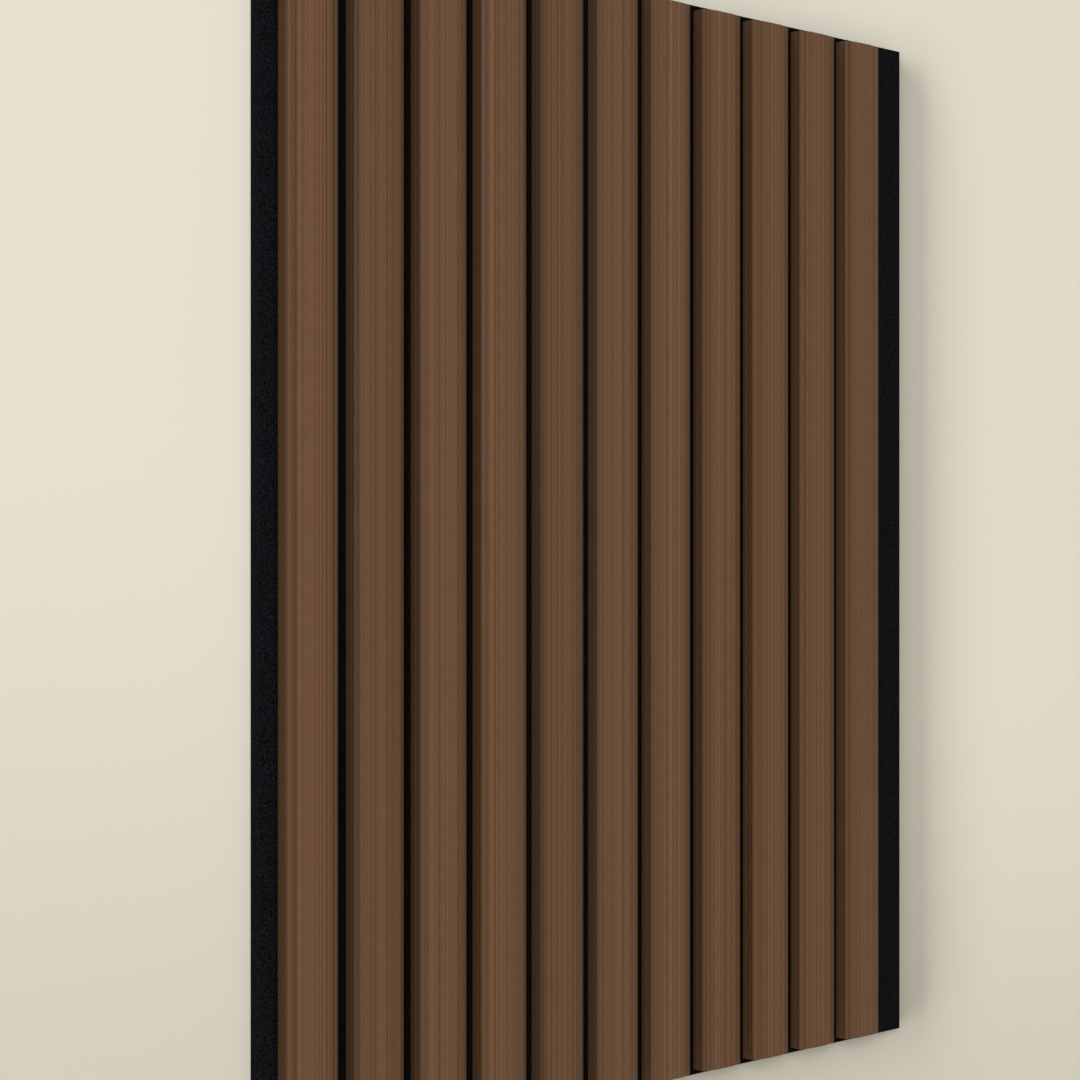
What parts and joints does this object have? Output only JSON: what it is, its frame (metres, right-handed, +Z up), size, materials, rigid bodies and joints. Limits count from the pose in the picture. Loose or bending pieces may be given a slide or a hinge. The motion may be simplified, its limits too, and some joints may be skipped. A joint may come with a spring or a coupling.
{
  "type": "fluted panel",
  "caption": "Fluted wall panel: upright walnut slats with softly rounded faces, stapled on a black felt backing board, for lining a wall and softening sound.",
  "frame": {"origin": "centre of the felt's back face, on the wall", "axes": "+Z up along the slats, +X to the right seen from the front, +Y into the wall; the slats face -Y"},
  "size_m": [0.6, 0.021, 0.758],
  "materials": {
    "walnut_veneer": "satin lacquer",
    "black_felt": "needled, matt",
    "staple_wire": "galvanised"
  },
  "bodies": {
    "root": {"felt_backing": "black_felt", "slat_01": "walnut_veneer", "slat_02": "walnut_veneer", "slat_03": "walnut_veneer", "slat_04": "walnut_veneer", "slat_05": "walnut_veneer", "slat_06": "walnut_veneer", "slat_07": "walnut_veneer", "slat_08": "walnut_veneer", "slat_09": "walnut_veneer", "slat_10": "walnut_veneer", "slat_11": "walnut_veneer", "staples": "staple_wire"}
  },
  "joints": []
}
